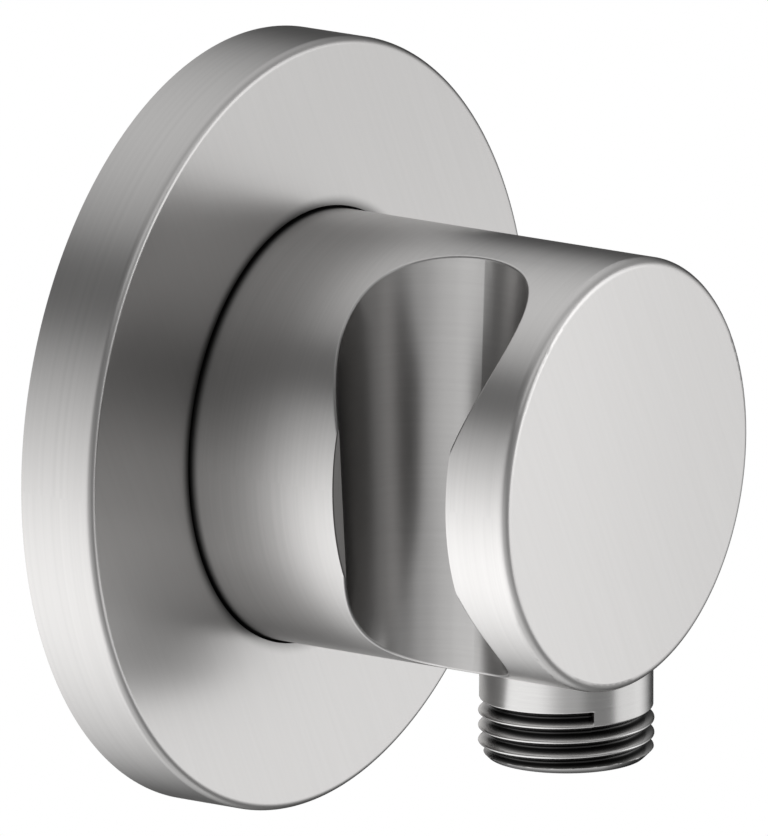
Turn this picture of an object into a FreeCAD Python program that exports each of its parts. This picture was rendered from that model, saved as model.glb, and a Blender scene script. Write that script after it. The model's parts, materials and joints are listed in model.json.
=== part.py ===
import FreeCAD, Part
import math
import os
import re
import Sketcher

# A wall outlet elbow for a shower hose, with a holder for the hand shower in
# one side of its body. The frame: the wall is the plane y = 0, the body
# stands out of it along -Y, +Z is up. The origin is the centre of the inlet
# thread in the plane of the wall. Sizes are in millimetres.

PARTS_FOLDER = "parts"

SIZES = [
    # The round cover plate on the wall.
    ("rosette_radius", 46.5, "outer radius of the rosette"),
    ("rosette_depth", 10.0, "wall to the rosette's front face"),
    ("rosette_face_wall", 2.0, "thickness of its front plate"),
    ("rosette_rim_wall", 3.2, "thickness of its rim"),
    ("rosette_edge_round", 1.0, "rounding of its front edge"),
    ("rosette_hub_wall", 2.5, "thickness of the collar round its hole"),
    ("rosette_hub_back", 3.0, "wall to the back of that collar"),
    ("rosette_gap", 0.3, "gap between the rosette and the bar"),
    ("wall_seal_width", 1.9, "width of the foam ring behind the rim"),
    ("wall_seal_thickness", 1.4, "thickness of that ring"),
    # The round bar that is the elbow's body.
    ("bar_radius", 26.0, "radius of the bar"),
    ("bar_reach", 55.0, "wall to the bar's front face"),
    ("bar_back_gap", 1.0, "wall to the bar's back face"),
    ("bar_edge_round", 1.2, "rounding of the bar's front edge"),
    ("bar_back_chamfer", 0.8, "chamfer of the bar's back edge"),
    ("rosette_ring_station", 6.4, "wall to the ring that holds the rosette"),
    ("rosette_ring_section", 2.4, "thickness of that ring"),
    ("rosette_ring_groove", 2.8, "width of its groove"),
    # The pocket for the hand shower's cone, open to the side.
    ("pocket_inset", 8.6, "side of the bar in to the pocket's axis"),
    ("pocket_station", 38.4, "wall to the pocket's axis"),
    ("pocket_radius", 10.4, "pocket radius at the height of the bar axis"),
    ("pocket_slope", 0.05, "widening of the pocket per unit of height"),
    ("slot_width", 16.1, "width of the side opening for the hose"),
    ("pocket_edge_break", 0.3, "rounding of the pocket's edges"),
    # The nipple that screws into the wall.
    ("inlet_radius", 10.4775, "outer radius of the half inch pipe thread"),
    ("inlet_length", 14.0, "length of the thread in the wall"),
    ("inlet_chamfer", 1.1, "chamfer of that thread's end"),
    ("inlet_relief_radius", 9.2, "radius of the relief under the gasket"),
    ("gasket_thickness", 1.5, "thickness of the nipple's gasket"),
    ("gasket_gap", 0.15, "gap between the gasket and the thread"),
    ("flange_radius", 13.0, "radius of the nipple's flange"),
    ("flange_thickness", 3.0, "thickness of the flange"),
    ("flange_gap", 0.3, "gap round the flange"),
    ("spigot_radius", 9.5, "radius of the spigot in the bar"),
    ("spigot_gap", 0.05, "radial gap round the spigot"),
    ("spigot_end", 21.0, "wall to the end of the spigot"),
    ("spigot_end_gap", 0.5, "gap past the end of the spigot"),
    ("spigot_chamfer", 0.6, "chamfer of the spigot's end"),
    ("rear_ring_station", 8.4, "wall to the spigot's rear ring"),
    ("front_ring_station", 18.4, "wall to the spigot's front ring"),
    ("spigot_ring_section", 2.0, "thickness of the spigot's rings"),
    ("spigot_ring_groove", 2.4, "width of their grooves"),
    ("hex_flats", 10.0, "key size inside the nipple"),
    ("hex_depth", 10.0, "depth of the key's hexagon"),
    ("inlet_bore_radius", 4.9, "radius of the bore through the nipple"),
    # The screw that clamps the bar on the nipple, from below.
    ("clamp_station", 13.6, "wall to the clamp screw"),
    ("clamp_groove_depth", 1.2, "depth of the groove for its tip"),
    ("clamp_groove_floor", 1.2, "width of that groove's floor"),
    ("screw_radius", 2.5, "radius of the clamp screw"),
    ("screw_recess", 5.7, "underside of the bar up to the clamp screw's end"),
    ("screw_hex_flats", 2.5, "key size of the clamp screw"),
    ("screw_hex_depth", 3.0, "depth of its key socket"),
    # The waterway and the outlet under the bar.
    ("channel_offset", 4.0, "bar axis to the channel's axis, sideways"),
    ("channel_radius", 5.0, "radius of the channel along the bar"),
    ("outlet_offset", 6.5, "bar axis to the outlet's axis, sideways"),
    ("outlet_station", 41.8, "wall to the outlet's axis"),
    ("chamber_radius", 7.0, "radius of the bore over the outlet nipple"),
    ("chamber_top", 6.5, "bar axis up to the end of that bore"),
    ("drill_tip_height", 2.5, "height of the drill's cone over it"),
    ("collar_radius", 10.35, "radius of the outlet's plain collar"),
    ("collar_gap", 0.15, "gap round the collar in the bar"),
    ("collar_top", 17.0, "bar axis down to the collar's seat"),
    ("shank_radius", 9.0, "radius of the nipple's shank in the bar"),
    ("shank_gap", 0.05, "radial gap round the shank"),
    ("shank_top", 7.0, "bar axis down to the top of the shank"),
    ("shank_chamfer", 0.5, "chamfer of the shank's end"),
    ("shank_ring_station", 9.6, "bar axis down to the shank's ring"),
    ("shank_ring_section", 1.8, "thickness of that ring"),
    ("shank_ring_groove", 2.2, "width of its groove"),
    ("outlet_radius", 10.4775, "outer radius of the half inch pipe thread"),
    ("outlet_thread", 7.5, "length of the thread for the hose"),
    ("outlet_chamfer", 1.05, "chamfer of that thread's end"),
    ("outlet_relief_width", 0.9, "width of the groove between collar and thread"),
    ("outlet_relief_radius", 9.3, "radius of that groove's floor"),
    ("outlet_reach", 37.2, "bar axis down to the end of the thread"),
    ("passage_radius", 5.5, "radius of the passage over the valve"),
    ("valve_bore_radius", 7.5, "radius of the bore that holds the valve"),
    ("valve_bore_depth", 16.0, "depth of that bore"),
    # The check valve in the outlet nipple.
    ("valve_gap", 0.05, "radial gap round the valve"),
    ("seat_height", 4.4, "height of the valve's seat piece"),
    ("seat_radius", 3.8, "radius of the hole in the seat"),
    ("seat_ring_section", 1.4, "thickness of the seat's ring"),
    ("seat_ring_groove", 1.8, "width of its groove"),
    ("skirt_height", 0.8, "height of the skirt that centres the seat"),
    ("skirt_wall", 0.7, "thickness of the skirt"),
    ("housing_height", 9.5, "height of the valve's housing"),
    ("housing_wall", 1.2, "thickness of the housing"),
    ("rib_width", 1.4, "width of the housing's three ribs"),
    ("rib_height", 1.5, "height of the ribs"),
    ("guide_radius", 1.8, "radius of the guide for the poppet's stem"),
    ("guide_height", 4.0, "height of that guide"),
    ("guide_gap", 0.05, "radial gap round the stem"),
    ("stem_radius", 1.0, "radius of the poppet's stem"),
    ("stem_length", 6.2, "length of the stem under the head"),
    ("head_radius", 4.6, "radius of the poppet's head"),
    ("head_thickness", 1.2, "thickness of the head"),
    ("hub_radius", 1.6, "radius of the hub in the seal"),
    ("cap_radius", 2.3, "radius of the button over the seal"),
    ("cap_thickness", 0.9, "thickness of that button"),
    ("seal_radius", 4.9, "radius of the poppet's rubber seal"),
    ("seal_thickness", 1.0, "thickness of the seal"),
    ("wire_radius", 0.2, "radius of the spring's wire"),
    ("spring_radius", 2.35, "mean radius of the spring"),
    ("spring_turns", 5.0, "turns of the spring"),
    ("clip_thickness", 1.0, "thickness of the clip under the housing"),
    ("clip_groove_depth", 0.5, "depth of the clip's groove"),
    ("clip_bottom_gap", 0.05, "gap under the clip in its groove"),
    ("clip_width", 1.4, "radial width of the clip"),
    ("clip_angle", 300.0, "angle that the open clip spans"),
]

doc = FreeCAD.newDocument("WallOutletElbow")
sheet = doc.addObject("Spreadsheet::Sheet", "Sizes")


def fill_sheet():
    for row, (alias, value, meaning) in enumerate(SIZES, start=1):
        sheet.set("A%d" % row, meaning)
        sheet.set("B%d" % row, str(value))
        sheet.setAlias("B%d" % row, alias)
    doc.recompute()


def bound(words):
    """Turn the sheet's names in a formula into references to its cells."""
    return re.sub(r"[a-z]+_[a-z_]+", lambda name: "Sizes." + name.group(), words)


def value_of(words):
    return float(sheet.evalExpression(bound(words)))


def new_body(name):
    body = doc.addObject("PartDesign::Body", name + "_body")
    body.Label = name
    return body


def origin_plane(body, role):
    for feature in body.Origin.OriginFeatures:
        if feature.Role == role:
            return feature
    raise ValueError("no plane " + role)


def new_sketch(body, name, role, offset="0"):
    """A sketch on an origin plane, moved along the plane's normal."""
    sketch = body.newObject("Sketcher::SketchObject", name)
    sketch.AttachmentSupport = [(origin_plane(body, role), "")]
    sketch.MapMode = "FlatFace"
    if offset != "0":
        sketch.setExpression("AttachmentOffset.Base.z", bound(offset))
    return sketch


def pin_coordinate(sketch, kind, line, formula):
    """Hold the start of a line at a formula's distance from the origin."""
    if formula == "0":
        axis = -2 if kind == "DistanceX" else -1
        sketch.addConstraint(Sketcher.Constraint("PointOnObject", line, 1, axis))
        return
    size = value_of(formula)
    held = sketch.addConstraint(Sketcher.Constraint(kind, -1, 1, line, 1, size))
    sketch.setExpression("Constraints[%d]" % held, bound(formula))


def draw_outline(sketch, corners):
    """A closed outline whose corners are pairs of formulas."""
    points = [FreeCAD.Vector(value_of(u), value_of(v), 0) for u, v in corners]
    first = sketch.GeometryCount
    count = len(corners)
    for number in range(count):
        start = points[number]
        end = points[(number + 1) % count]
        sketch.addGeometry(Part.LineSegment(start, end), False)
    for number in range(count):
        line = first + number
        after = first + (number + 1) % count
        sketch.addConstraint(Sketcher.Constraint("Coincident", line, 2, after, 1))
    for number, (u, v) in enumerate(corners):
        line = first + number
        if number and u == corners[number - 1][0]:
            sketch.addConstraint(Sketcher.Constraint("Vertical", line - 1))
        else:
            pin_coordinate(sketch, "DistanceX", line, u)
        if number and v == corners[number - 1][1]:
            sketch.addConstraint(Sketcher.Constraint("Horizontal", line - 1))
        else:
            pin_coordinate(sketch, "DistanceY", line, v)


def draw_circle(sketch, centre, radius):
    u, v = centre
    place = FreeCAD.Vector(value_of(u), value_of(v), 0)
    circle = Part.Circle(place, FreeCAD.Vector(0, 0, 1), value_of(radius))
    number = sketch.addGeometry(circle, False)
    size = value_of(radius)
    held = sketch.addConstraint(Sketcher.Constraint("Radius", number, size))
    sketch.setExpression("Constraints[%d]" % held, bound(radius))
    for kind, axis, formula in (("DistanceX", -2, u), ("DistanceY", -1, v)):
        if formula == "0":
            rule = Sketcher.Constraint("PointOnObject", number, 3, axis)
            sketch.addConstraint(rule)
        else:
            rule = Sketcher.Constraint(kind, -1, 1, number, 3, value_of(formula))
            held = sketch.addConstraint(rule)
            sketch.setExpression("Constraints[%d]" % held, bound(formula))


def draw_hexagon(sketch, flats):
    """A hexagon round the sketch's origin, two corners on its first axis."""
    corner = "(%s) / sqrt(3)" % flats
    half = "(%s) / sqrt(3) / 2" % flats
    side = "(%s) / 2" % flats
    draw_outline(sketch, [
        (corner, "0"), (half, side), ("-" + half, side),
        ("-" + corner, "0"), ("-" + half, "-" + side), (half, "-" + side)])


def draw_axis(sketch, u):
    """A construction line to turn about, parallel to the sketch's second axis."""
    foot = FreeCAD.Vector(value_of(u), 0, 0)
    head = FreeCAD.Vector(value_of(u), 10, 0)
    line = sketch.addGeometry(Part.LineSegment(foot, head), True)
    sketch.addConstraint(Sketcher.Constraint("Vertical", line))
    sketch.addConstraint(Sketcher.Constraint("PointOnObject", line, 1, -1))
    pin_coordinate(sketch, "DistanceX", line, u)
    sketch.addConstraint(Sketcher.Constraint("Distance", line, 10))


def turn(body, name, role, corners):
    """Turn an outline about the second axis of its plane."""
    sketch = new_sketch(body, name + "_outline", role)
    draw_outline(sketch, corners)
    turned = body.newObject("PartDesign::Revolution", name)
    turned.Profile = sketch
    turned.ReferenceAxis = (sketch, ["V_Axis"])
    turned.Angle = 360
    doc.recompute()
    return turned


def bore(body, name, corners, axis, offset):
    """Cut an outline turned about an upright axis at a distance from the wall."""
    sketch = new_sketch(body, name + "_outline", "XZ_Plane", offset)
    draw_outline(sketch, corners)
    draw_axis(sketch, axis)
    cut = body.newObject("PartDesign::Groove", name)
    cut.Profile = sketch
    cut.ReferenceAxis = (sketch, ["Axis0"])
    cut.Angle = 360
    doc.recompute()
    return cut


def pocket(body, name, sketch, length, backwards=False, both_ways=False):
    cut = body.newObject("PartDesign::Pocket", name)
    cut.Profile = sketch
    cut.Reversed = backwards
    cut.Midplane = both_ways
    cut.setExpression("Length", bound(length))
    doc.recompute()
    return cut


def edges_where(feature, wanted):
    """Names of a feature's edges that a test accepts."""
    names = []
    for number, edge in enumerate(feature.Shape.Edges, start=1):
        if wanted(edge):
            names.append("Edge%d" % number)
    if not names:
        raise ValueError("no such edge on " + feature.Name)
    return names


def is_round(edge, radius, axis, station):
    """Whether an edge is a circle of this radius at this place on a row axis."""
    near = 0.001
    curve = edge.Curve
    if not isinstance(curve, Part.Circle) or abs(curve.Radius - radius) > near:
        return False
    return abs(getattr(curve.Center, axis) - station) < near


def round_edges(body, name, base, edges, radius):
    rounded = body.newObject("PartDesign::Fillet", name)
    rounded.Base = (base, edges)
    rounded.setExpression("Radius", bound(radius))
    doc.recompute()
    return rounded


def place(piece, across="0", out="0", up="0"):
    """Put a piece at a distance to the side, out from the wall and up."""
    for axis, formula in (("x", across), ("y", "-(%s)" % out), ("z", up)):
        if formula.strip("-()") != "0":
            piece.setExpression("Placement.Base." + axis, bound(formula))


def ring(name, radius, section, upright, across="0", out="0", up="0"):
    """A round rubber ring, given by its middle radius and its thickness."""
    torus = doc.addObject("Part::Torus", name + "_ring")
    torus.Label = name
    torus.setExpression("Radius1", bound(radius))
    torus.setExpression("Radius2", bound("(%s) / 2" % section))
    if not upright:
        along_y = FreeCAD.Rotation(FreeCAD.Vector(1, 0, 0), 90)
        torus.Placement = FreeCAD.Placement(FreeCAD.Vector(0, 0, 0), along_y)
    place(torus, across, out, up)
    return torus


ROSETTE_HOLE = "(bar_radius + rosette_gap)"
POCKET_OFFSET = "(bar_radius - pocket_inset)"
SOCKET_RADIUS = "(spigot_radius + spigot_gap)"
FLANGE_BACK = "gasket_thickness"
FLANGE_FRONT = "(gasket_thickness + flange_thickness)"
SHANK_BORE = "(shank_radius + shank_gap)"
VALVE_TOP = "(outlet_reach - valve_bore_depth)"
VALVE_RADIUS = "(valve_bore_radius - valve_gap)"
SEAT_BOTTOM = "(outlet_reach - valve_bore_depth + seat_height)"
HOUSING_BOTTOM = "(%s + housing_height)" % SEAT_BOTTOM
HOUSING_BORE = "(valve_bore_radius - valve_gap - housing_wall)"
HEAD_BOTTOM = "(%s + seal_thickness + head_thickness)" % SEAT_BOTTOM
RIB_TOP = "(%s - rib_height)" % HOUSING_BOTTOM
CLIP_BOTTOM = "(%s + clip_thickness)" % HOUSING_BOTTOM
CLIP_GROOVE = "(valve_bore_radius + clip_groove_depth)"


def groove_corners(outside, floor, station, width, sign="-"):
    """The four corners of a square groove, walked in the falling direction."""
    start = "%s(%s - (%s) / 2)" % (sign, station, width)
    end = "%s(%s + (%s) / 2)" % (sign, station, width)
    return [(outside, start), (floor, start), (floor, end), (outside, end)]


def build_rosette():
    """A turned cup with a collar round its hole and a step for its seal."""
    body = new_body("rosette")
    seal_outside = "(rosette_radius - rosette_rim_wall + wall_seal_width)"
    rim_inside = "(rosette_radius - rosette_rim_wall)"
    hub_outside = "(%s + rosette_hub_wall)" % ROSETTE_HOLE
    inner_face = "-(rosette_depth - rosette_face_wall)"
    cup = turn(body, "rosette_cup", "XY_Plane", [
        ("rosette_radius", "0"),
        ("rosette_radius", "-rosette_depth"),
        (ROSETTE_HOLE, "-rosette_depth"),
        (ROSETTE_HOLE, "-rosette_hub_back"),
        (hub_outside, "-rosette_hub_back"),
        (hub_outside, inner_face),
        (rim_inside, inner_face),
        (rim_inside, "-wall_seal_thickness"),
        (seal_outside, "-wall_seal_thickness"),
        (seal_outside, "0")])
    front = -value_of("rosette_depth")
    radius = value_of("rosette_radius")
    edges = edges_where(cup, lambda edge: is_round(edge, radius, "y", front))
    round_edges(body, "rosette_edge", cup, edges, "rosette_edge_round")
    return body


def build_wall_seal():
    """The foam ring in the step of the rosette's rim."""
    body = new_body("wall_seal")
    inside = "(rosette_radius - rosette_rim_wall)"
    outside = "(rosette_radius - rosette_rim_wall + wall_seal_width)"
    turn(body, "wall_seal_ring", "XY_Plane", [
        (outside, "0"), (outside, "-wall_seal_thickness"),
        (inside, "-wall_seal_thickness"), (inside, "0")])
    return body


def build_rosette_ring():
    """The rubber ring in the bar that the rosette's collar slides over."""
    middle = "%s - rosette_ring_section / 2" % ROSETTE_HOLE
    return ring("rosette_o_ring", middle, "rosette_ring_section", False,
                out="rosette_ring_station")


def bar_outline():
    groove_floor = "(%s - rosette_ring_section)" % ROSETTE_HOLE
    groove = groove_corners("bar_radius", groove_floor, "rosette_ring_station",
                            "rosette_ring_groove")
    flange_bore = "(flange_radius + flange_gap)"
    flange_floor = "-(%s + flange_gap)" % FLANGE_FRONT
    socket_end = "-(spigot_end + spigot_end_gap)"
    return [
        ("bar_radius - bar_back_chamfer", "-bar_back_gap"),
        ("bar_radius", "-(bar_back_gap + bar_back_chamfer)"),
    ] + groove + [
        ("bar_radius", "-bar_reach"),
        ("0", "-bar_reach"),
        ("0", socket_end),
        (SOCKET_RADIUS, socket_end),
        (SOCKET_RADIUS, flange_floor),
        (flange_bore, flange_floor),
        (flange_bore, "-bar_back_gap")]


def cut_waterway(body):
    """The channel along the bar, and the stepped bore that ends in the outlet."""
    channel = new_sketch(body, "channel_outline", "XZ_Plane")
    draw_circle(channel, ("channel_offset", "0"), "channel_radius")
    pocket(body, "channel", channel, "outlet_station", backwards=True)
    axis = "outlet_offset"
    shank_side = "(outlet_offset + %s)" % SHANK_BORE
    collar_side = "(outlet_offset + collar_radius + collar_gap)"
    bore(body, "outlet_bore", [
        (axis, "chamber_top + drill_tip_height"),
        (axis, "-outlet_reach"),
        (collar_side, "-outlet_reach"),
        (collar_side, "-collar_top"),
        (shank_side, "-collar_top"),
        (shank_side, "-shank_top"),
        ("(outlet_offset + chamber_radius)", "-shank_top"),
        ("(outlet_offset + chamber_radius)", "chamber_top")],
        axis, "outlet_station")


def cut_holder(body):
    """The tapered pocket for the hand shower, and the slot for its hose."""
    axis = "-" + POCKET_OFFSET
    top = "(bar_radius + 2)"
    upper = "%s + pocket_radius + pocket_slope * %s" % (axis, top)
    lower = "%s + pocket_radius - pocket_slope * %s" % (axis, top)
    bore(body, "pocket_cone", [
        (axis, top), (axis, "-" + top), (lower, "-" + top), (upper, top)],
        axis, "pocket_station")
    slot = new_sketch(body, "slot_outline", "XY_Plane")
    back = "-(pocket_station - slot_width / 2)"
    front = "-(pocket_station + slot_width / 2)"
    outside = "-(bar_radius + 2)"
    draw_outline(slot, [
        (axis, back), (outside, back), (outside, front), (axis, front)])
    return pocket(body, "slot", slot, "2 * bar_radius + 4", both_ways=True)


def is_holder_edge(edge):
    """Whether an edge bounds the pocket or the slot on the bar's outside."""
    middle = edge.valueAt((edge.FirstParameter + edge.LastParameter) / 2)
    reach = math.hypot(middle.x, middle.z)
    on_bar = abs(reach - value_of("bar_radius")) < 0.01
    out = -middle.y
    near_pocket = abs(out - value_of("pocket_station")) < value_of("pocket_radius") + 3
    on_left = middle.x < value_of("outlet_offset - collar_radius - collar_gap") - 1
    return on_bar and near_pocket and on_left and not isinstance(edge.Curve, Part.Circle)


def build_bar():
    """The solid round bar with everything that is bored into it."""
    body = new_body("elbow_bar")
    turned = turn(body, "bar", "XY_Plane", bar_outline())
    front = -value_of("bar_reach")
    radius = value_of("bar_radius")
    edges = edges_where(turned, lambda edge: is_round(edge, radius, "y", front))
    round_edges(body, "bar_edge", turned, edges, "bar_edge_round")
    cut_waterway(body)
    clamp = new_sketch(body, "clamp_hole_outline", "XY_Plane")
    draw_circle(clamp, ("0", "-clamp_station"), "screw_radius")
    pocket(body, "clamp_hole", clamp, "bar_radius + 2")
    slot = cut_holder(body)
    edges = edges_where(slot, is_holder_edge)
    round_edges(body, "pocket_edge", slot, edges, "pocket_edge_break")
    return body


def build_wall_nipple():
    """The nipple: thread in the wall, flange, and spigot with three grooves."""
    body = new_body("wall_nipple")
    ring_floor = "(%s - spigot_ring_section)" % SOCKET_RADIUS
    tip_floor = "(spigot_radius - clamp_groove_depth)"
    tip_half = "clamp_groove_floor / 2"
    tip_side = "(%s + clamp_groove_depth)" % tip_half
    rear = groove_corners("spigot_radius", ring_floor, "rear_ring_station",
                          "spigot_ring_groove")
    front = groove_corners("spigot_radius", ring_floor, "front_ring_station",
                           "spigot_ring_groove")
    turn(body, "nipple", "XY_Plane", [
        ("inlet_bore_radius", "inlet_length"),
        ("inlet_radius - inlet_chamfer", "inlet_length"),
        ("inlet_radius", "inlet_length - inlet_chamfer"),
        ("inlet_radius", "0"),
        ("inlet_relief_radius", "0"),
        ("inlet_relief_radius", "-" + FLANGE_BACK),
        ("flange_radius", "-" + FLANGE_BACK),
        ("flange_radius", "-" + FLANGE_FRONT),
        ("spigot_radius", "-" + FLANGE_FRONT),
    ] + rear + [
        ("spigot_radius", "-(clamp_station - %s)" % tip_side),
        (tip_floor, "-(clamp_station - %s)" % tip_half),
        (tip_floor, "-(clamp_station + %s)" % tip_half),
        ("spigot_radius", "-(clamp_station + %s)" % tip_side),
    ] + front + [
        ("spigot_radius", "-(spigot_end - spigot_chamfer)"),
        ("spigot_radius - spigot_chamfer", "-spigot_end"),
        ("inlet_bore_radius", "-spigot_end")])
    key = new_sketch(body, "key_outline", "XZ_Plane", "spigot_end")
    draw_hexagon(key, "hex_flats")
    pocket(body, "key_socket", key, "hex_depth")
    return body


def build_nipple_gasket():
    """The flat gasket between the nipple's flange and the pipe in the wall."""
    body = new_body("nipple_gasket")
    inside = "(inlet_radius + gasket_gap)"
    turn(body, "gasket", "XY_Plane", [
        ("flange_radius", "0"), ("flange_radius", "-gasket_thickness"),
        (inside, "-gasket_thickness"), (inside, "0")])
    return body


def build_spigot_ring(name, station):
    middle = "%s - spigot_ring_section / 2" % SOCKET_RADIUS
    return ring(name, middle, "spigot_ring_section", False, out=station)


def build_clamp_screw():
    """A grub screw with a cone tip, standing under the nipple."""
    body = new_body("clamp_screw")
    tip = "-(spigot_radius - clamp_groove_depth)"
    tip_radius = "clamp_groove_floor / 2"
    cone = "(screw_radius - %s)" % tip_radius
    end = "-(bar_radius - screw_recess)"
    turn(body, "screw", "XZ_Plane", [
        ("0", tip), (tip_radius, tip),
        ("screw_radius", "%s - %s" % (tip, cone)),
        ("screw_radius", end), ("0", end)])
    key = new_sketch(body, "screw_key_outline", "XY_Plane", end)
    draw_hexagon(key, "screw_hex_flats")
    pocket(body, "screw_key", key, "screw_hex_depth", backwards=True)
    place(body, out="clamp_station")
    return body


def build_outlet_nipple():
    """The nipple under the bar: shank, plain collar, and thread for the hose."""
    body = new_body("outlet_nipple")
    ring_floor = "(%s - shank_ring_section)" % SHANK_BORE
    groove = groove_corners("shank_radius", ring_floor, "shank_ring_station",
                            "shank_ring_groove")
    thread_top = "-(outlet_reach - outlet_thread)"
    clip_groove = "-(%s + clip_bottom_gap)" % CLIP_BOTTOM
    turn(body, "outlet", "XZ_Plane", [
        ("passage_radius", "-shank_top"),
        ("shank_radius - shank_chamfer", "-shank_top"),
        ("shank_radius", "-(shank_top + shank_chamfer)"),
    ] + groove + [
        ("shank_radius", "-collar_top"),
        ("collar_radius", "-collar_top"),
        ("collar_radius", thread_top),
        ("outlet_relief_radius", thread_top),
        ("outlet_relief_radius", "%s - outlet_relief_width" % thread_top),
        ("outlet_radius", "%s - outlet_relief_width" % thread_top),
        ("outlet_radius", "-(outlet_reach - outlet_chamfer)"),
        ("outlet_radius - outlet_chamfer", "-outlet_reach"),
        ("valve_bore_radius", "-outlet_reach"),
        ("valve_bore_radius", clip_groove),
        (CLIP_GROOVE, clip_groove),
        (CLIP_GROOVE, "-" + HOUSING_BOTTOM),
        ("valve_bore_radius", "-" + HOUSING_BOTTOM),
        ("valve_bore_radius", "-" + VALVE_TOP),
        ("passage_radius", "-" + VALVE_TOP)])
    place(body, across="outlet_offset", out="outlet_station")
    return body


def build_shank_ring():
    middle = "%s - shank_ring_section / 2" % SHANK_BORE
    return ring("outlet_o_ring", middle, "shank_ring_section", True,
                "outlet_offset", "outlet_station", "-shank_ring_station")


def build_valve_seat():
    """The upper half of the check valve, with the hole that the poppet closes."""
    body = new_body("valve_seat")
    ring_floor = "(valve_bore_radius - seat_ring_section)"
    ring_station = "(%s + seat_height / 2)" % VALVE_TOP
    groove = groove_corners(VALVE_RADIUS, ring_floor, ring_station,
                            "seat_ring_groove")
    skirt_outside = "(%s - valve_gap)" % HOUSING_BORE
    skirt_end = "-(%s + skirt_height)" % SEAT_BOTTOM
    turn(body, "seat", "XZ_Plane", [
        ("seat_radius", "-" + VALVE_TOP),
        (VALVE_RADIUS, "-" + VALVE_TOP),
    ] + groove + [
        (VALVE_RADIUS, "-" + SEAT_BOTTOM),
        (skirt_outside, "-" + SEAT_BOTTOM),
        (skirt_outside, skirt_end),
        ("(%s - skirt_wall)" % skirt_outside, skirt_end),
        ("(%s - skirt_wall)" % skirt_outside, "-" + SEAT_BOTTOM),
        ("seat_radius", "-" + SEAT_BOTTOM)])
    place(body, across="outlet_offset", out="outlet_station")
    return body


def build_seat_ring():
    middle = "valve_bore_radius - seat_ring_section / 2"
    height = "-(%s + seat_height / 2)" % VALVE_TOP
    return ring("valve_o_ring", middle, "seat_ring_section", True,
                "outlet_offset", "outlet_station", height)


def build_valve_housing():
    """The lower half of the check valve: a tube, three ribs and a guide."""
    body = new_body("valve_housing")
    turn(body, "housing_tube", "XZ_Plane", [
        (HOUSING_BORE, "-" + SEAT_BOTTOM), (VALVE_RADIUS, "-" + SEAT_BOTTOM),
        (VALVE_RADIUS, "-" + HOUSING_BOTTOM),
        (HOUSING_BORE, "-" + HOUSING_BOTTOM)])
    rib = new_sketch(body, "rib_outline", "XY_Plane", "-" + HOUSING_BOTTOM)
    inner = "guide_radius - guide_gap"
    outer = "(%s + housing_wall / 2)" % HOUSING_BORE
    draw_outline(rib, [
        (inner, "-rib_width / 2"), (outer, "-rib_width / 2"),
        (outer, "rib_width / 2"), (inner, "rib_width / 2")])
    pad = body.newObject("PartDesign::Pad", "rib")
    pad.Profile = rib
    pad.setExpression("Length", bound("rib_height"))
    ribs = body.newObject("PartDesign::PolarPattern", "ribs")
    ribs.Originals = [pad]
    ribs.Axis = (rib, ["N_Axis"])
    ribs.Angle = 360
    ribs.Occurrences = 3
    body.Tip = ribs
    doc.recompute()
    guide = new_sketch(body, "guide_outline", "XY_Plane", "-" + HOUSING_BOTTOM)
    draw_circle(guide, ("0", "0"), "guide_radius")
    draw_circle(guide, ("0", "0"), "stem_radius + guide_gap")
    post = body.newObject("PartDesign::Pad", "guide")
    post.Profile = guide
    post.setExpression("Length", bound("guide_height"))
    doc.recompute()
    place(body, across="outlet_offset", out="outlet_station")
    return body


def build_valve_poppet():
    """Stem, head and the button that keeps the rubber seal on."""
    body = new_body("valve_poppet")
    seal_top = "-" + SEAT_BOTTOM
    seal_bottom = "-(%s + seal_thickness)" % SEAT_BOTTOM
    cap_top = "-(%s - cap_thickness)" % SEAT_BOTTOM
    stem_end = "-(%s + stem_length)" % HEAD_BOTTOM
    turn(body, "poppet", "XZ_Plane", [
        ("0", cap_top), ("cap_radius", cap_top), ("cap_radius", seal_top),
        ("hub_radius", seal_top), ("hub_radius", seal_bottom),
        ("head_radius", seal_bottom), ("head_radius", "-" + HEAD_BOTTOM),
        ("stem_radius", "-" + HEAD_BOTTOM), ("stem_radius", stem_end),
        ("0", stem_end)])
    place(body, across="outlet_offset", out="outlet_station")
    return body


def build_poppet_seal():
    """The rubber washer on the poppet that presses against the seat."""
    body = new_body("poppet_seal")
    bottom = "-(%s + seal_thickness)" % SEAT_BOTTOM
    turn(body, "washer", "XZ_Plane", [
        ("hub_radius", "-" + SEAT_BOTTOM), ("seal_radius", "-" + SEAT_BOTTOM),
        ("seal_radius", bottom), ("hub_radius", bottom)])
    place(body, across="outlet_offset", out="outlet_station")
    return body


def build_valve_spring():
    """The coil round the guide, between the ribs and the poppet's head."""
    wire = value_of("wire_radius")
    bottom = value_of(RIB_TOP)
    height = bottom - value_of(HEAD_BOTTOM) - 2 * wire
    radius = value_of("spring_radius")
    path = Part.makeHelix(height / value_of("spring_turns"), height, radius)
    circle = Part.Circle(FreeCAD.Vector(radius, 0, 0), FreeCAD.Vector(0, 1, 0), wire)
    quarter = math.pi / 2
    section = Part.Wire([circle.toShape(quarter * k, quarter * (k + 1)) for k in range(4)])
    coil = Part.Wire(path.Edges).makePipeShell([section], True, True)
    piece = doc.addObject("Part::Feature", "valve_spring_coil")
    piece.Label = "valve_spring"
    piece.Shape = coil
    piece.Placement = FreeCAD.Placement(
        FreeCAD.Vector(value_of("outlet_offset"), -value_of("outlet_station"),
                       -bottom + wire),
        FreeCAD.Rotation())
    return piece


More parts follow.
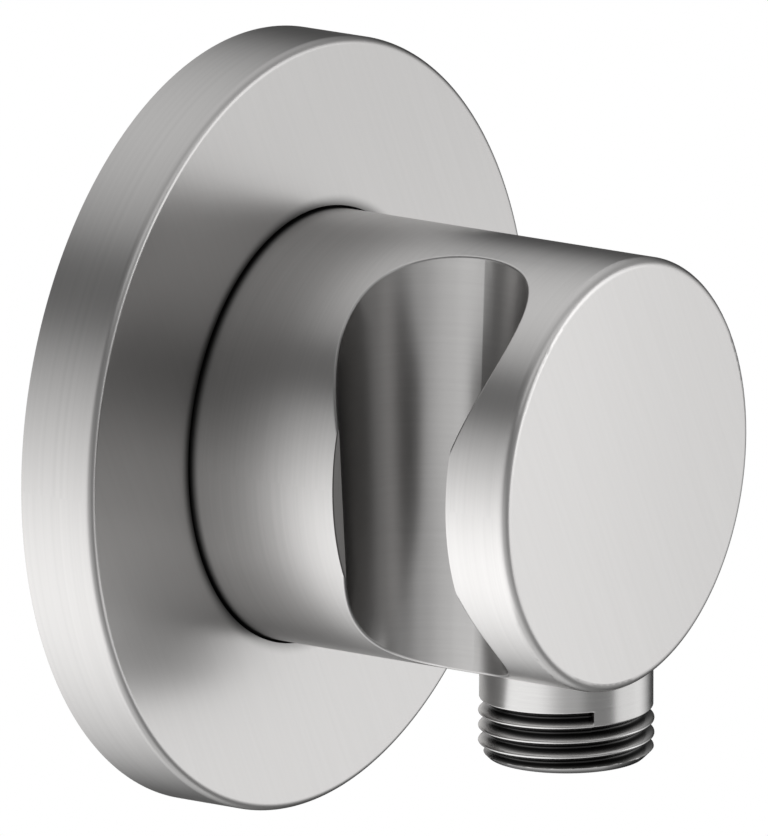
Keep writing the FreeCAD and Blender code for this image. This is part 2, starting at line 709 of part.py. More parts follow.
def build_valve_clip():
    """The open ring that keeps the valve in its bore."""
    body = new_body("valve_clip")
    inside = "(%s - clip_width)" % CLIP_GROOVE
    turned = turn(body, "clip", "XZ_Plane", [
        (inside, "-" + HOUSING_BOTTOM), (CLIP_GROOVE, "-" + HOUSING_BOTTOM),
        (CLIP_GROOVE, "-" + CLIP_BOTTOM), (inside, "-" + CLIP_BOTTOM)])
    turned.setExpression("Angle", bound("clip_angle"))
    place(body, across="outlet_offset", out="outlet_station")
    return body


def build_all():
    return [
        build_bar(),
        build_rosette(),
        build_rosette_ring(),
        build_wall_seal(),
        build_wall_nipple(),
        build_nipple_gasket(),
        build_spigot_ring("nipple_o_ring_rear", "rear_ring_station"),
        build_spigot_ring("nipple_o_ring_front", "front_ring_station"),
        build_clamp_screw(),
        build_outlet_nipple(),
        build_shank_ring(),
        build_valve_seat(),
        build_seat_ring(),
        build_valve_housing(),
        build_valve_poppet(),
        build_poppet_seal(),
        build_valve_spring(),
        build_valve_clip(),
    ]


def check_pieces(pieces):
    """Stop on a failed feature, or on a piece with no sound solid."""
    for feature in doc.Objects:
        if "Invalid" in feature.State or "Error" in feature.State:
            raise RuntimeError("failed: %s %s" % (feature.Name, feature.State))
    for piece in pieces:
        shape = piece.Shape
        if shape.isNull() or not shape.isValid() or shape.Volume <= 0:
            raise RuntimeError("no sound solid: " + piece.Label)


def write_pieces(pieces):
    os.makedirs(PARTS_FOLDER, exist_ok=True)
    for piece in pieces:
        piece.Shape.exportStep(os.path.join(PARTS_FOLDER, piece.Label + ".step"))
        box = piece.Shape.BoundBox
        print("%-22s %d solid %9.1f mm3  x %.2f %.2f  y %.2f %.2f  z %.2f %.2f" % (
            piece.Label, len(piece.Shape.Solids), piece.Shape.Volume,
            box.XMin, box.XMax, box.YMin, box.YMax, box.ZMin, box.ZMax))


fill_sheet()
all_pieces = build_all()
doc.recompute()
check_pieces(all_pieces)
write_pieces(all_pieces)
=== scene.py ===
import json
import math

import bpy
import numpy as np
from mathutils import Matrix, Vector


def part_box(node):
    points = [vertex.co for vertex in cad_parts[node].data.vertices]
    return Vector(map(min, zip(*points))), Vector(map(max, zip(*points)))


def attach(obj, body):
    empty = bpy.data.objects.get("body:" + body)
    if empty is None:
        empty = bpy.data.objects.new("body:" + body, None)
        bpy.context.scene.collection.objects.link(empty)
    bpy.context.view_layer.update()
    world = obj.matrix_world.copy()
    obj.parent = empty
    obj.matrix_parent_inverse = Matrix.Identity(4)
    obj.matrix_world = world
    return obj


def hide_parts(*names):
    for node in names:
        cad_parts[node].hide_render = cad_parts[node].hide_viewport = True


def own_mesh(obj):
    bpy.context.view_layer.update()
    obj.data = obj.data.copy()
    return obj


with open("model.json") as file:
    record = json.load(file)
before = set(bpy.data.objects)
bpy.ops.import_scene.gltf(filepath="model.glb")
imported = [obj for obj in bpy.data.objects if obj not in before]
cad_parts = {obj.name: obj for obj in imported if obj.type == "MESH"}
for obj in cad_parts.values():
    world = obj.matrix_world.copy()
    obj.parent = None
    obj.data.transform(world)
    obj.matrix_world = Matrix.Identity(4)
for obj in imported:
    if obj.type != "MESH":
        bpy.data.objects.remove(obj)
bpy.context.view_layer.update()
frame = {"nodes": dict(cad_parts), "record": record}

# The looks of a wall outlet elbow with a holder for the hand shower, in metres
# and in the part's own frame: the wall is y = 0 and the bar stands out along -Y.

MM = 0.001


# Shader graphs, written as formulas.

class Graph:
    """Adds nodes to a material or world and links them by name."""

    def __init__(self, tree):
        self.tree = tree
        tree.nodes.clear()

    def add(self, kind, settings=None, **values):
        node = self.tree.nodes.new(kind)
        for key, value in (settings or {}).items():
            setattr(node, key, value)
        for key, value in values.items():
            self.feed(node.inputs[key.replace("_", " ")], value)
        return node

    def feed(self, socket, value):
        if isinstance(value, bpy.types.NodeSocket):
            self.tree.links.new(value, socket)
        else:
            socket.default_value = value

    def calc(self, operation, *values):
        node = self.add("ShaderNodeMath", {"operation": operation})
        for socket, value in zip(node.inputs, values):
            self.feed(socket, value)
        return node.outputs[0]

    def product(self, *values):
        total = values[0]
        for value in values[1:]:
            total = self.calc("MULTIPLY", total, value)
        return total

    def fade(self, share, start, end):
        """The number start where the share is 0, and end where it is 1."""
        return self.calc("ADD", start, self.product(share, end - start))

    def distance(self, first, second):
        return self.calc("SQRT", self.calc("ADD", self.product(first, first),
                                           self.product(second, second)))

    def step(self, value, begin, whole):
        """0 before begin, 1 past whole, smooth between; whole may be the lower."""
        node = self.add("ShaderNodeMapRange", {"interpolation_type": "SMOOTHSTEP"},
                        Value=value, From_Min=begin, From_Max=whole)
        return node.outputs["Result"]

    def vector(self, x, y, z):
        return self.add("ShaderNodeCombineXYZ", X=x, Y=y, Z=z).outputs[0]

    def split(self, value):
        return self.add("ShaderNodeSeparateXYZ", Vector=value).outputs

    def place(self):
        """The place on the object, in the part's own frame."""
        return self.add("ShaderNodeTexCoord").outputs["Object"]

    def mix(self, share, first, second, kind="RGBA"):
        node = self.add("ShaderNodeMix", {"data_type": kind})
        by_name = {socket.name: socket for socket in node.inputs if socket.enabled}
        self.feed(by_name["Factor"], share)
        self.feed(by_name["A"], first)
        self.feed(by_name["B"], second)
        return [socket for socket in node.outputs if socket.enabled][0]

    def noise(self, where, scale, detail=2.0, rough=0.5):
        node = self.add("ShaderNodeTexNoise", Vector=where, Scale=scale,
                        Detail=detail, Roughness=rough)
        return node.outputs["Fac"]

    def ramp(self, value, stops):
        """Colours by value; each stop is a value with a colour."""
        node = self.add("ShaderNodeValToRGB", Fac=value)
        elements = node.color_ramp.elements
        while len(elements) > 1:
            elements.remove(elements[-1])
        for number, (position, colour) in enumerate(stops):
            element = elements[0] if number == 0 else elements.new(position)
            element.position = position
            element.color = (*colour, 1.0)
        return node.outputs["Color"]


def times(colour, factor):
    """An opaque colour, lighter or darker by the factor."""
    return (*[channel * factor for channel in colour], 1.0)


def new_material(name):
    material = bpy.data.materials.new(name)
    material.use_nodes = True
    graph = Graph(material.node_tree)
    shader = graph.add("ShaderNodeBsdfPrincipled")
    out = graph.add("ShaderNodeOutputMaterial")
    graph.tree.links.new(shader.outputs[0], out.inputs["Surface"])
    return material, graph, shader


def finish_of(graph, shader, colour, roughness, bump, strength, height):
    """Colour, roughness and a relief; its height is in millimetres."""
    graph.feed(shader.inputs["Base Color"], colour)
    graph.feed(shader.inputs["Roughness"], roughness)
    relief = graph.add("ShaderNodeBump", Height=bump, Strength=strength,
                       Distance=height * MM)
    graph.feed(shader.inputs["Normal"], relief.outputs[0])


# The brushed metal. The bar and the rim are brushed round their axis, the
# pocket round its own, and the flat faces along one slanting direction.
# Its colour also carries painted light and painted shade.

NICKEL = (0.467, 0.460, 0.455)
LIGHTEST = 1.6                       # the shade at which the colour's mix ends
# the grain's mean tone, and the painted shade's share of the colour in the gap round the
# bar
MEAN_SHADE, PAINTED_GAP_SHADE = 0.93, 0.15
BAND_SHARE = 0.6                     # of broad bands in the grain, the rest is fine
GRAIN_CONTRAST = (0.2, 0.1)          # round the bar, on the flat faces
BRUSHED_ROUGHNESS = (0.265, 0.335)
GRAIN_LEAN = math.radians(27)
POCKET_AXIS = (-17.4 * MM, -38.4 * MM)

# Noise cells to a radian along the brushing, or to a metre.
ROUND_GRAIN = (2.0, 9000.0, 400.0)   # round the bar, along it, out from it
FACE_GRAIN = (8000.0, 160.0)         # across the brushing, along it
POCKET_GRAIN = (2.0, 8000.0)         # round the pocket, up its wall

# How much a face points along Y where it begins to count as flat, and does.
FLAT = (0.86, 0.97)

# The places where the metal's tone changes. The zone inside the bar only turns
# the grain into the pocket; all the others mark where light or shade is painted
# on. Each has limits along x, y, z or the reach, which is the distance from the
# bar's axis: where it begins and where it is whole, in millimetres.
ZONES = {
    "inside the bar": (("reach", 25.85, 25.6), ("y", -54.6, -54.4)),
    "painted light to the bar's end": (("y", -12, -48),),
    "painted light on the end face's left": (("y", -53.5, -54.5), ("x", 26, -26)),
    "painted light low on the rosette's face": (("y", -12, -11), ("z", 46, -46)),
    "painted pocket shade": (("reach", 25.99, 25.9), ("y", -53.0, -52.5)),
    "painted lip shade": (("reach", 25.6, 25.75), ("x", -18, -20), ("z", -20, -12),
                         ("y", -39, -35)),
    # painted shade at the gap where the bar goes into the rosette
    "painted shade next to the gap": (("y", -10.6, -10.3), ("reach", 27.8, 25.8)),
    "painted shade on the bar by the gap": (("y", -11.3, -10.1), ("reach", 26.3, 26.1),
                           ("reach", 25.6, 25.9)),
    "painted shade from the mouth out": (("y", -8.5, -9.5),),
    "painted shade full higher up": (("z", -26, -20),),
}
PAINTED_LIGHT_WALL = ((0.3, 0.6), (1.2, 0.95))    # radians round the pocket's axis, where light is painted on its wall


def brushed_material():
    material, graph, shader = new_material("brushed_nickel_finish")
    x, y, z = graph.split(graph.place())
    normal = graph.split(graph.add("ShaderNodeNewGeometry").outputs["Normal"])
    reach = graph.distance(x, z)
    flat = graph.step(graph.calc("ABSOLUTE", normal["Y"]), *FLAT)
    along_axis = {"x": x, "y": y, "z": z, "reach": reach}

    def zone(name):
        return graph.product(*[
            graph.step(along_axis[axis], begin * MM, whole * MM)
            for axis, begin, whole in ZONES[name]])

    inside = zone("inside the bar")
    turn = graph.calc("ARCTAN2", z, x)
    round_bar = graph.vector(*[graph.product(value, cells) for value, cells
                               in zip((turn, y, reach), ROUND_GRAIN)])
    cosine, sine = math.cos(GRAIN_LEAN), math.sin(GRAIN_LEAN)
    across = graph.calc("ADD", graph.product(x, cosine), graph.product(z, sine))
    along = graph.calc("SUBTRACT", graph.product(z, cosine), graph.product(x, sine))
    on_face = graph.vector(graph.product(across, FACE_GRAIN[0]),
                           graph.product(along, FACE_GRAIN[1]), y)
    side = graph.calc("ARCTAN2", graph.calc("SUBTRACT", y, POCKET_AXIS[1]),
                      graph.calc("SUBTRACT", x, POCKET_AXIS[0]))
    in_pocket = graph.vector(graph.product(side, POCKET_GRAIN[0]),
                             graph.product(z, POCKET_GRAIN[1]), 0.0)
    lines = graph.mix(flat, round_bar, on_face, "VECTOR")
    lines = graph.mix(inside, lines, in_pocket, "VECTOR")
    streak = graph.noise(lines, scale=1.0, detail=3.0, rough=0.6)
    bands = graph.noise(lines, scale=0.2)
    tone = graph.calc("ADD", graph.product(streak, 1 - BAND_SHARE),
                      graph.product(bands, BAND_SHARE))
    contrast = graph.fade(flat, *GRAIN_CONTRAST)
    # shade starts as the grain's tone; painted light and painted shade are multiplied
    # into it below
    shade = graph.calc("ADD", MEAN_SHADE, graph.product(
        graph.calc("SUBTRACT", tone, 0.5), contrast))

    # painted shade: darker inside the pocket; the marks on its wall and lip lie within it
    pocket_painted_shade = zone("painted pocket shade")
    painted_wall_light = graph.product(pocket_painted_shade, *[graph.step(side, *limits)
                                         for limits in PAINTED_LIGHT_WALL])
    # Painted light and painted shade, each a factor on the grain's tone.
    for painted_light_mask, factor in (
            # painted light: the bar lighter towards its end and darker near the wall
            (zone("painted light to the bar's end"), 1.14),
            # painted light: the end face lighter towards its left side
            (graph.product(flat, zone("painted light on the end face's left")), 1.12),
            # painted light: the rosette's face lighter low down
            (graph.product(flat, zone("painted light low on the rosette's face")), 1.2),
            (pocket_painted_shade, 0.72),
            # painted light: a stretch of the pocket's wall lighter
            (painted_wall_light, 1.5),
            # painted shade on the pocket's rounded lip, dimming its highlight
            (graph.product(pocket_painted_shade, zone("painted lip shade")), 0.45)):
        shade = graph.product(shade, graph.fade(painted_light_mask, 1.0, factor))
    colour = graph.mix(graph.calc("DIVIDE", shade, LIGHTEST), times(NICKEL, 0.0),
                       times(NICKEL, LIGHTEST))
    # painted shade at the gap where the bar goes into the rosette, weaker towards the
    # underside
    painted_crease_shade = graph.product(
        graph.calc("MAXIMUM", zone("painted shade next to the gap"), zone("painted shade on the bar by the gap")),
        zone("painted shade from the mouth out"), graph.fade(zone("painted shade full higher up"), 0.6, 1.0))
    colour = graph.mix(painted_crease_shade, colour, times(NICKEL, PAINTED_GAP_SHADE))

    tangent = graph.mix(flat, (0.0, 1.0, 0.0), (cosine, 0.0, sine), "VECTOR")
    tangent = graph.mix(inside, tangent, (0.0, 0.0, 1.0), "VECTOR")
    roughness = graph.fade(streak, *BRUSHED_ROUGHNESS)
    finish_of(graph, shader, colour, roughness, streak, strength=0.25, height=0.01)
    shader.inputs["Metallic"].default_value = 1.0
    shader.inputs["Anisotropic"].default_value = 0.5
    graph.feed(shader.inputs["Tangent"], tangent)
    return material


TURNED_GRAIN = (1.2, 3800.0, 3800.0)    # cells round the axis, along it, out from it


def turned_material(name, colour, roughness, axis, centre, thread=None):
    """Metal turned on a lathe: fine rings round an upright or a level axis.
    A thread, given by the radii of its root and crest, gets painted shade in its grooves."""
    material, graph, shader = new_material(name)
    x, y, z = graph.split(graph.place())
    u = graph.calc("SUBTRACT", x, centre[0])
    v, along = (graph.calc("SUBTRACT", y, centre[1]), z) if axis == "Z" else (z, y)
    reach = graph.distance(u, v)
    turn = graph.calc("ARCTAN2", v, u)
    rings = graph.vector(*[graph.product(value, cells) for value, cells
                           in zip((turn, along, reach), TURNED_GRAIN)])
    streak = graph.noise(rings, scale=1.0, detail=3.0, rough=0.6)
    ring_tone_and_groove_shade = graph.mix(streak, times(colour, 0.93), times(colour, 1.05))
    if thread:
        # painted shade in the thread's grooves
        ring_tone_and_groove_shade = graph.mix(graph.step(reach, *thread), times(colour, 0.1), ring_tone_and_groove_shade)
    rough = graph.fade(streak, roughness - 0.03, roughness + 0.03)
    finish_of(graph, shader, ring_tone_and_groove_shade, rough, streak, strength=0.1, height=0.01)
    shader.inputs["Metallic"].default_value = 1.0
    shader.inputs["Anisotropic"].default_value = 0.4
    graph.feed(shader.inputs["Tangent"],
               (0.0, 0.0, 1.0) if axis == "Z" else (0.0, 1.0, 0.0))
    return material


def plain_material(name, dark, light, roughness, grain, strength):
    """A soft or moulded material: two tones, a fine grain and a low relief."""
    material, graph, shader = new_material(name)
    where = graph.place()
    fine = graph.noise(where, grain, detail=4.0, rough=0.6)
    broad = graph.noise(where, grain * 0.08)
    tone = graph.calc("ADD", graph.product(fine, 0.6), graph.product(broad, 0.4))
    colour = graph.mix(tone, (*dark, 1.0), (*light, 1.0))
    rough = graph.fade(fine, roughness - 0.06, roughness + 0.06)
    finish_of(graph, shader, colour, rough, fine, strength, height=0.05)
    return material


def foam_material():
    """Closed cells, cut across."""
    material, graph, shader = new_material("grey_foam_finish")
    cells = graph.add("ShaderNodeTexVoronoi", Vector=graph.place(),
                      Scale=4200.0).outputs["Distance"]
    colour = graph.ramp(cells, [(0.0, (0.11, 0.11, 0.115)),
                                (0.7, (0.21, 0.21, 0.215))])
    finish_of(graph, shader, colour, 0.85, cells, strength=0.6, height=0.1)
    return material


def centre_of(node):
    low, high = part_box(node)
    return (low + high) / 2


outlet_centre = centre_of("outlet_nipple")
THREAD_SHADE_RADII = (9.5 * MM, 10.4 * MM)  # radii where the thread's grooves get painted shade, and where not
CLAMP_SCREW_Y = -13.6                # millimetres, as the groove it sits in

FINISHES = {
    "brushed_nickel": brushed_material(),
    "outlet_nickel": turned_material(
        "outlet_nickel_finish", (0.48, 0.475, 0.47), 0.22,
        "Z", (outlet_centre.x, outlet_centre.y), THREAD_SHADE_RADII),
    "raw_brass": turned_material(
        "raw_brass_finish", (0.78, 0.60, 0.31), 0.26, "Y", (0.0, 0.0)),
    "stainless_steel": turned_material(
        "stainless_steel_finish", (0.56, 0.56, 0.56), 0.24,
        "Z", (0.0, CLAMP_SCREW_Y * MM)),
    "black_rubber": plain_material(
        "black_rubber_finish", (0.016, 0.016, 0.016), (0.032, 0.032, 0.031),
        roughness=0.55, grain=3000.0, strength=0.15),
    "grey_foam": foam_material(),
    "red_fibre": plain_material(
        "red_fibre_finish", (0.34, 0.05, 0.03), (0.5, 0.1, 0.06),
        roughness=0.75, grain=2600.0, strength=0.4),
    "white_acetal": plain_material(
        "white_acetal_finish", (0.76, 0.76, 0.73), (0.86, 0.86, 0.83),
        roughness=0.38, grain=1800.0, strength=0.06),
    "blue_acetal": plain_material(
        "blue_acetal_finish", (0.035, 0.12, 0.36), (0.055, 0.17, 0.44),
        roughness=0.36, grain=1800.0, strength=0.06),
}
SLOT_OF = {part["node"]: part["material_slot"] for part in frame["record"]["subparts"]}
for node_name, node_object in frame["nodes"].items():
    for material_slot in node_object.material_slots:
        material_slot.material = FINISHES[SLOT_OF[node_name]]


# The turned pieces. The sizes in these functions are in millimetres.

ALONG_Y = Matrix(((1, 0, 0, 0), (0, 0, 1, 0), (0, -1, 0, 0), (0, 0, 0, 1)))
SHARP_ANGLE = math.radians(32)


def lathe(name, rings, columns, to_world):
    """A closed piece from rings of one (radius, height) for each column."""
    count = len(columns)
    points = np.zeros((len(rings), count, 3))
    for row, ring in enumerate(rings):
        for column, (radius, height) in enumerate(ring):
            angle = columns[column]
            points[row, column] = (radius * math.cos(angle),
                                   radius * math.sin(angle), height)
    points = points.reshape(-1, 3) * MM
    faces = []
    for row in range(len(rings)):
        below = (row + 1) % len(rings)
        for column in range(count):
            beside = (column + 1) % count
            faces.append((row * count + column, row * count + beside,
                          below * count + beside, below * count + column))
    mesh = bpy.data.meshes.new(name)
    mesh.from_pydata([tuple(point) for point in points], [], faces)
    mesh.transform(to_world)
    mesh.update()
    piece = bpy.data.objects.new(name, mesh)
    bpy.context.scene.collection.objects.link(piece)
    mesh.polygons.foreach_set("use_smooth", [True] * len(mesh.polygons))
    mesh.set_sharp_from_angle(angle=SHARP_ANGLE)
    return piece


def whole_rings(columns, profile):
    """One even ring for each (radius, height) of the profile."""
    return [[(radius, height)] * len(columns) for radius, height in profile]


def limit(value, low, high):
    return min(max(value, low), high)


# Half inch pipe thread: 14 turns to the inch, right-handed, 55 degrees between
# its flanks. Its crests and roots are cut off a sixth from the sharp corner.

PITCH = 25.4 / 14
SHARP_HEIGHT = 0.960491 * PITCH
THREAD_DEPTH = 0.640327 * PITCH
CREST = 20.955 / 2
SOFTENING = (-0.06, -0.03, 0.0, 0.03, 0.06)    # in turns; their mean rounds the thread


def thread_profile(phase):
    """Depth under the crest, for a phase that is 0 in the middle of a groove."""
    depth = 0.0
    for shift in SOFTENING:
        away = abs((phase + shift + 0.5) % 1.0 - 0.5) * 2
        depth += limit(SHARP_HEIGHT * (1 - away) - SHARP_HEIGHT / 6, 0.0, THREAD_DEPTH)
    return depth / len(SOFTENING)


def build_outlet():
    """Shank, plain collar and hose thread. The uppermost groove of the thread
    starts with a blunt end, a little right of the middle as the photo sees it."""
    towards_camera, to_the_right = -145.847, 18.0    # degrees
    start = math.radians(towards_camera + to_the_right)
    start_height, start_gap, run_out = -30.35, 0.5, 0.7
    steps, seam = 192, 0.0006
    turns = [seam] + [k / steps for k in range(1, steps)] + [1 - seam]
    columns = [start - 2 * math.pi * turn for turn in turns]

    bore, shank, bar_bore, collar, end_radius = 5.5, 9.0, 9.05, 10.35, 9.41
    top, shank_end, collar_end, thread_top, bottom = -7.0, -17.0, -29.1, -29.2, -37.2
    chamfer = 0.5
    groove, groove_half, groove_depth = -9.6, 1.1, 1.8
    floor = bar_bore - groove_depth
    rings = whole_rings(columns, (
        (bore, top), (shank - chamfer, top), (shank, top - chamfer),
        (shank, groove + groove_half), (floor, groove + groove_half),
        (floor, groove - groove_half), (shank, groove - groove_half),
        (shank, shank_end), (collar, shank_end), (collar, collar_end)))

    row_height = 0.055
    rows = int((thread_top - bottom) / row_height)
    for row in range(rows + 1):
        height = thread_top + (bottom - thread_top) * row / rows
        ring = []
        for turn in turns:
            phase = (start_height - height) / PITCH - turn
            if phase < -start_gap:
                radius = collar
            else:
                grown = limit((phase + start_gap) / run_out, 0.0, 1.0)
                radius = collar + (CREST - collar) * grown - thread_profile(phase)
            ring.append((min(radius, end_radius + (height - bottom)), height))
        rings.append(ring)

    valve_bore, valve_top = 7.5, -21.2
    clip_radius, clip_low, clip_high = 8.0, -36.15, -35.1
    rings += whole_rings(columns, (
        (valve_bore, bottom), (valve_bore, clip_low), (clip_radius, clip_low),
        (clip_radius, clip_high), (valve_bore, clip_high), (valve_bore, valve_top),
        (bore, valve_top)))
    piece = lathe("outlet_threaded", rings, columns,
                  Matrix.Translation((outlet_centre.x, outlet_centre.y, 0.0)))
    piece.data.materials.append(FINISHES["outlet_nickel"])
    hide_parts("outlet_nipple")
    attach(piece, "elbow")


def build_inlet():
    """The nipple in the wall, with its thread and the hexagon for the key."""
    count = 144
    columns = [2 * math.pi * k / count for k in range(count)]
    bore, relief, flange, spigot, tip = 4.9, 9.2, 13.0, 9.5, 8.9
    end, chamfer = 14.0, 1.1

    rings = whole_rings(columns, [(bore, end)])
    row_height = 0.07
    rows = int(end / row_height)
    for row in range(rows + 1):
        height = end * (1 - row / rows)
        ring = []
        for angle in columns:
            radius = CREST - thread_profile(height / PITCH - angle / (2 * math.pi))
            ring.append((min(radius, CREST - chamfer + (end - height)), height))
        rings.append(ring)

    flange_back, flange_front, spigot_end, tip_end = -1.5, -4.5, -20.4, -21.0
    seal_floor, rear_seal, front_seal = 7.55, (-7.2, -9.6), (-17.2, -19.6)
    screw_depth, screw_half = 1.2, 0.6
    screw_floor = spigot - screw_depth
    rear_floor, front_floor = CLAMP_SCREW_Y + screw_half, CLAMP_SCREW_Y - screw_half
    rings += whole_rings(columns, (
        (relief, 0.0), (relief, flange_back), (flange, flange_back),
        (flange, flange_front), (spigot, flange_front),
        (spigot, rear_seal[0]), (seal_floor, rear_seal[0]),
        (seal_floor, rear_seal[1]), (spigot, rear_seal[1]),
        (spigot, rear_floor + screw_depth), (screw_floor, rear_floor),
        (screw_floor, front_floor), (spigot, front_floor - screw_depth),
        (spigot, front_seal[0]), (seal_floor, front_seal[0]),
        (seal_floor, front_seal[1]), (spigot, front_seal[1]),
        (spigot, spigot_end), (tip, tip_end)))

    key_flats, key_depth = 10.0, -11.0
    hexagon = [key_flats / 2 / math.cos(math.radians((math.degrees(angle) % 60) - 30))
               for angle in columns]
    rings += [[(radius, height) for radius in hexagon] for height in (tip_end, key_depth)]
    rings += whole_rings(columns, [(bore, key_depth)])
    piece = lathe("inlet_threaded", rings, columns, ALONG_Y)
    piece.data.materials.append(FINISHES["raw_brass"])
    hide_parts("wall_nipple")
    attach(piece, "elbow")


def build_rosette():
    """The rosette as a turned piece, with a finer rounding than the CAD mesh."""
    count, steps = 288, 18
    columns = [-2 * math.pi * k / count for k in range(count)]
    outside, seal_radius, inside, neck, hole = 46.5, 45.2, 43.3, 28.8, 26.3
    front, rounding = -10.0, 1.0
    seal_floor, neck_back, hollow_floor = -1.4, -3.0, -8.0
    flat_edge = 0.05                 # of plain rim and of plain face beside the rounding
    profile = [(seal_radius, 0.0), (outside, 0.0),
               (outside, front + rounding + flat_edge)]
    for k in range(steps + 1):
        turn = math.pi / 2 * k / steps
        profile.append((outside - rounding * (1 - math.cos(turn)),
                        front + rounding * (1 - math.sin(turn))))
    profile += [(outside - rounding - flat_edge, front), (hole, front), (hole, neck_back),
                (neck, neck_back), (neck, hollow_floor), (inside, hollow_floor),
                (inside, seal_floor), (seal_radius, seal_floor)]
    piece = lathe("rosette_turned", whole_rings(columns, profile), columns, ALONG_Y)
    piece.data.materials.append(FINISHES["brushed_nickel"])
    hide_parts("rosette")
    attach(piece, "elbow")


def build_spring():
    """The check valve's spring, copied with a mesh of its own; the spring shortens as its
    poppet opens, but nothing here shortens it.
    """
    node = frame["nodes"]["valve_spring"]
    piece = bpy.data.objects.new("spring_coil", node.data.copy())
    piece.matrix_world = node.matrix_world
    bpy.context.scene.collection.objects.link(piece)
    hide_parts("valve_spring")
    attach(piece, "elbow")
    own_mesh(piece)


build_outlet()
build_inlet()
build_rosette()
build_spring()


# The floor, white as the photo's background. It ends at the plane of the wall,
# and from below it is clear.

def build_floor():
    height, radius, behind_wall, sides = -1.0, 0.6, 0.02, 96
    turns = [math.pi * (1 + k / sides) for k in range(sides + 1)]
    ring = [(radius * math.cos(turn), radius * math.sin(turn) + behind_wall, height)
            for turn in turns]
    mesh = bpy.data.meshes.new("floor")
    mesh.from_pydata(ring, [], [tuple(range(len(ring)))])
    floor = bpy.data.objects.new("floor", mesh)
    bpy.context.scene.collection.objects.link(floor)
    material = bpy.data.materials.new("floor_finish")
    material.use_nodes = True
    graph = Graph(material.node_tree)
    pale = graph.add("ShaderNodeBsdfDiffuse", Color=(0.86, 0.86, 0.86, 1.0))
    white = graph.add("ShaderNodeEmission", Color=(1.0, 1.0, 1.0, 1.0), Strength=1.0)
    clear = graph.add("ShaderNodeBsdfTransparent")
    path = graph.add("ShaderNodeLightPath").outputs
    shown = graph.calc("MAXIMUM", path["Is Camera Ray"], graph.calc(
        "MAXIMUM", path["Is Glossy Ray"], path["Is Transmission Ray"]))
    lit = graph.add("ShaderNodeMixShader", Fac=shown)
    graph.tree.links.new(pale.outputs[0], lit.inputs[1])
    graph.tree.links.new(white.outputs[0], lit.inputs[2])
    from_below = graph.add("ShaderNodeNewGeometry").outputs["Backfacing"]
    seen = graph.add("ShaderNodeMixShader", Fac=from_below)
    graph.tree.links.new(lit.outputs[0], seen.inputs[1])
    graph.tree.links.new(clear.outputs[0], seen.inputs[2])
    out = graph.add("ShaderNodeOutputMaterial")
    graph.tree.links.new(seen.outputs[0], out.inputs["Surface"])
    mesh.materials.append(material)


build_floor()


# The studio, as the world. It has one ring of light on the wall's side and one
# in front: each stop is an angle in the plane across the bar, in degrees from
# the left over the top, and the light that comes from there.

BACK_LIGHT = (
    (-180, 0.03), (-163, 0.03), (-141, 0.04), (-125, 0.4), (-109, 0.98), (-93, 1.38),
    (-77, 1.74), (-61, 1.97), (-45, 2.0), (-29, 1.88), (-13, 1.58), (3, 1.2), (19, 0.8),
    (27, 0.56), (35, 0.27), (43, 0.2), (55, 0.22), (66, 0.62), (83, 0.92), (99, 1.04),
    (115, 1.0), (131, 0.84), (147, 0.5), (158, 0.2), (168, 0.05))
FRONT_LIGHT = (
    (-180, 1.1), (-163, 1.55), (-154, 1.4), (-146, 0.8), (-138, 0.35), (-120, 0.28),
    (-97, 0.55), (-77, 0.7), (-57, 0.7), (-37, 0.7), (-17, 0.72), (3, 0.42), (20, 0.22),
    (43, 0.22), (63, 0.48), (83, 0.6), (103, 0.68), (123, 0.62), (143, 0.5), (157, 0.5),
    (168, 0.7))
FRONT_TO_BACK = (-0.6, 0.1)          # y of the direction
LOW_LIGHT, LOW_LEAN = -0.6, 0.6      # below this z the rings lean back, by this much

# Lights and dark cards in front of those rings. Each has its light, and where
# it begins and is whole along the directions' axes.
CARDS = (
    (0.36, (("y", -0.72, -0.9), ("x", 0.25, 0.02), ("z", 0.5, 0.3))),   # by the camera
    (1.1, (("y", -0.6, -0.75), ("z", 0.35, 0.55))),                     # overhead
    (2.2, (("y", -0.57, -0.64), ("x", 0.36, 0.46),                      # upright strip
           ("z", 0.4, 0.3), ("z", -0.16, -0.1))),
    (1.35, (("y", -0.62, -0.67), ("x", 0.14, 0.24),                     # below the strip
            ("z", -0.1, -0.16), ("z", -0.5, -0.4))),
)
STRENGTH = 2.0                       # colours end at 1, so the lights are divided by it


def grey(light):
    return (light / STRENGTH,) * 3


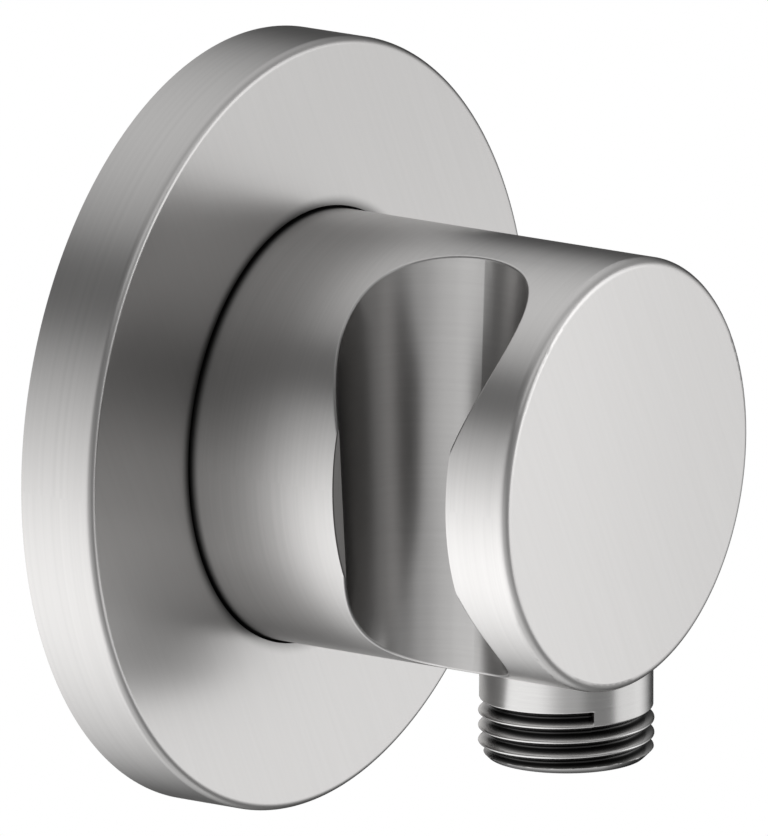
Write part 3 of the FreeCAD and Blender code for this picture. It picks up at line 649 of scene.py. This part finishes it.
def studio_world():
    world = bpy.data.worlds.new("studio")
    bpy.context.scene.world = world
    world.use_nodes = True
    graph = Graph(world.node_tree)
    x, y, z = graph.split(graph.add("ShaderNodeTexCoord").outputs["Generated"])
    along_axis = {"x": x, "y": y, "z": z}
    angle = graph.calc("ARCTAN2", z, graph.product(x, -1.0))
    turn = graph.calc("ADD", graph.calc("DIVIDE", angle, 2 * math.pi), 0.5)

    def light_ring(stops):
        colours = [((degrees + 180) / 360, grey(light)) for degrees, light in stops]
        return graph.ramp(turn, colours + [(1.0, colours[0][1])])

    low = graph.calc("MAXIMUM", graph.calc("SUBTRACT", LOW_LIGHT, z), 0.0)
    depth = graph.calc("ADD", y, graph.product(low, LOW_LEAN))
    studio = graph.mix(graph.step(depth, *FRONT_TO_BACK),
                       light_ring(FRONT_LIGHT), light_ring(BACK_LIGHT))
    for light, limits in CARDS:
        card = graph.product(*[graph.step(along_axis[axis], begin, whole)
                               for axis, begin, whole in limits])
        studio = graph.mix(card, studio, (*grey(light), 1.0))
    path = graph.add("ShaderNodeLightPath").outputs
    shown = graph.calc("MAXIMUM", path["Is Camera Ray"], path["Is Transmission Ray"])
    colour = graph.mix(shown, studio, (*grey(1.0), 1.0))
    background = graph.add("ShaderNodeBackground", Color=colour, Strength=STRENGTH)
    out = graph.add("ShaderNodeOutputWorld")
    graph.tree.links.new(background.outputs[0], out.inputs["Surface"])


studio_world()


# The camera, fitted to the outlines in the photo.

AZIMUTH, ELEVATION, ROLL = (math.radians(angle) for angle in (-55.847, 14.011, -0.052))
TARGET = Vector((-7.219, -25.0, 4.350)) * MM
DISTANCE = 3.5
CLIP_START, CLIP_END = 0.1, 100.0
FOCAL_PIXELS, LONG_SIDE = 29574.9, 836     # pixels of the photo
SENSOR = 36.0                              # millimetres


def build_camera():
    data = bpy.data.cameras.new("camera")
    camera = bpy.data.objects.new("camera", data)
    bpy.context.scene.collection.objects.link(camera)
    data.sensor_fit = "AUTO"
    data.sensor_width = SENSOR
    data.lens = FOCAL_PIXELS / LONG_SIDE * SENSOR
    data.clip_start, data.clip_end = CLIP_START, CLIP_END
    back = Vector((math.sin(AZIMUTH) * math.cos(ELEVATION),
                   -math.cos(AZIMUTH) * math.cos(ELEVATION), math.sin(ELEVATION)))
    right = Vector((0, 0, 1)).cross(back).normalized()
    up = back.cross(right)
    cosine, sine = math.cos(ROLL), math.sin(ROLL)
    right, up = right * cosine + up * sine, up * cosine - right * sine
    turn = Matrix((right, up, back)).transposed().to_4x4()
    camera.matrix_world = Matrix.Translation(TARGET + back * DISTANCE) @ turn
    bpy.context.scene.camera = camera


build_camera()

bpy.context.scene.view_settings.view_transform = "Standard"
